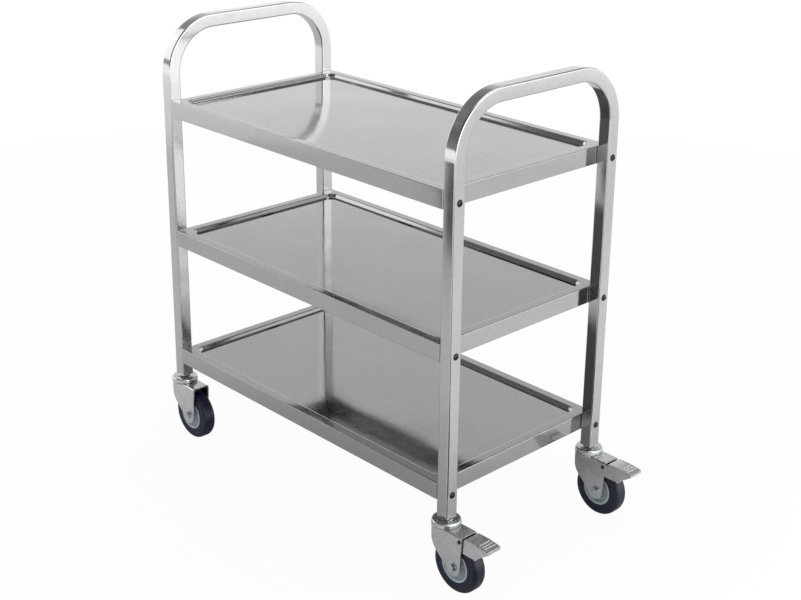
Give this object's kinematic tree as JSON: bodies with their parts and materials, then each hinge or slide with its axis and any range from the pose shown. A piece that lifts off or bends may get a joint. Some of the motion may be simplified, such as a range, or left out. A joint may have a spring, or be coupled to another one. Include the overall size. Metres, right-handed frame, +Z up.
{
  "type": "utility cart",
  "caption": "Stainless steel utility cart: pressed trays bolted between bent square tube end frames that form the handles, on swivel casters, with foot brakes at one end.",
  "frame": {"origin": "on the floor, under the middle of the box round the whole cart at rest, with its casters trailing to +X", "axes": "+X along the cart towards the end with the foot brakes, +Y across it, +Z up"},
  "size_m": [0.8906, 0.426, 0.855],
  "materials": {
    "frame_steel": "satin polished stainless steel tube",
    "tray_steel": "bright, slightly wavy stainless steel sheet",
    "fastener_steel": "plain stainless steel, a little darker in the drives and threads",
    "zinc_steel": "bright zinc plated pressed steel",
    "ball_steel": "polished bearing steel",
    "hub_plastic": "grey moulded plastic",
    "tyre": "dark blue-black moulded rubber"
  },
  "bodies": {
    "frame": {"right_end_frame": "frame_steel", "left_end_frame": "frame_steel", "top_tray": "tray_steel", "middle_tray": "tray_steel", "bottom_tray": "tray_steel", "tray_bolts": "fastener_steel", "tray_washers": "fastener_steel", "tray_nuts": "fastener_steel", "stem_sockets": "zinc_steel", "stem_nuts": "zinc_steel", "stem_right_front": "zinc_steel", "race_right_front": "zinc_steel", "stem_right_rear": "zinc_steel", "race_right_rear": "zinc_steel", "stem_left_front": "zinc_steel", "race_left_front": "zinc_steel", "stem_left_rear": "zinc_steel", "race_left_rear": "zinc_steel"},
    "swivel_right_front": {"balls_right_front": "ball_steel", "fork_right_front": "zinc_steel", "axle_bolt_right_front": "zinc_steel", "axle_nut_right_front": "zinc_steel", "axle_bush_right_front": "zinc_steel", "pedal_pin_right_front": "zinc_steel"},
    "wheel_right_front": {"hub_right_front": "hub_plastic", "tyre_right_front": "tyre"},
    "brake_right_front": {"pedal_right_front": "zinc_steel", "brake_shoe_right_front": "zinc_steel"},
    "swivel_right_rear": {"balls_right_rear": "ball_steel", "fork_right_rear": "zinc_steel", "axle_bolt_right_rear": "zinc_steel", "axle_nut_right_rear": "zinc_steel", "axle_bush_right_rear": "zinc_steel", "pedal_pin_right_rear": "zinc_steel"},
    "wheel_right_rear": {"hub_right_rear": "hub_plastic", "tyre_right_rear": "tyre"},
    "brake_right_rear": {"pedal_right_rear": "zinc_steel", "brake_shoe_right_rear": "zinc_steel"},
    "swivel_left_front": {"balls_left_front": "ball_steel", "fork_left_front": "zinc_steel", "axle_bolt_left_front": "zinc_steel", "axle_nut_left_front": "zinc_steel", "axle_bush_left_front": "zinc_steel"},
    "wheel_left_front": {"hub_left_front": "hub_plastic", "tyre_left_front": "tyre"},
    "swivel_left_rear": {"balls_left_rear": "ball_steel", "fork_left_rear": "zinc_steel", "axle_bolt_left_rear": "zinc_steel", "axle_nut_left_rear": "zinc_steel", "axle_bush_left_rear": "zinc_steel"},
    "wheel_left_rear": {"hub_left_rear": "hub_plastic", "tyre_left_rear": "tyre"}
  },
  "joints": [
    {"name": "caster_swivel_right_front", "type": "hinge", "parent": "frame", "child": "swivel_right_front", "pos_m": [0.33525, -0.1875, 0.12], "axis": [0, 0, 1], "continuous": true},
    {"name": "wheel_spin_right_front", "type": "hinge", "parent": "swivel_right_front", "child": "wheel_right_front", "pos_m": [0.36925, -0.1875, 0.05], "axis": [0, 1, 0], "continuous": true},
    {"name": "brake_pedal_right_front", "type": "hinge", "parent": "swivel_right_front", "child": "brake_right_front", "pos_m": [0.38425, -0.1875, 0.105], "axis": [0, 1, 0], "range_deg": [0, 8]},
    {"name": "caster_swivel_right_rear", "type": "hinge", "parent": "frame", "child": "swivel_right_rear", "pos_m": [0.33525, 0.1875, 0.12], "axis": [0, 0, 1], "continuous": true},
    {"name": "wheel_spin_right_rear", "type": "hinge", "parent": "swivel_right_rear", "child": "wheel_right_rear", "pos_m": [0.36925, 0.1875, 0.05], "axis": [0, 1, 0], "continuous": true},
    {"name": "brake_pedal_right_rear", "type": "hinge", "parent": "swivel_right_rear", "child": "brake_right_rear", "pos_m": [0.38425, 0.1875, 0.105], "axis": [0, 1, 0], "range_deg": [0, 8]},
    {"name": "caster_swivel_left_front", "type": "hinge", "parent": "frame", "child": "swivel_left_front", "pos_m": [-0.41975, -0.1875, 0.12], "axis": [0, 0, 1], "continuous": true},
    {"name": "wheel_spin_left_front", "type": "hinge", "parent": "swivel_left_front", "child": "wheel_left_front", "pos_m": [-0.38575, -0.1875, 0.05], "axis": [0, 1, 0], "continuous": true},
    {"name": "caster_swivel_left_rear", "type": "hinge", "parent": "frame", "child": "swivel_left_rear", "pos_m": [-0.41975, 0.1875, 0.12], "axis": [0, 0, 1], "continuous": true},
    {"name": "wheel_spin_left_rear", "type": "hinge", "parent": "swivel_left_rear", "child": "wheel_left_rear", "pos_m": [-0.38575, 0.1875, 0.05], "axis": [0, 1, 0], "continuous": true}
  ]
}
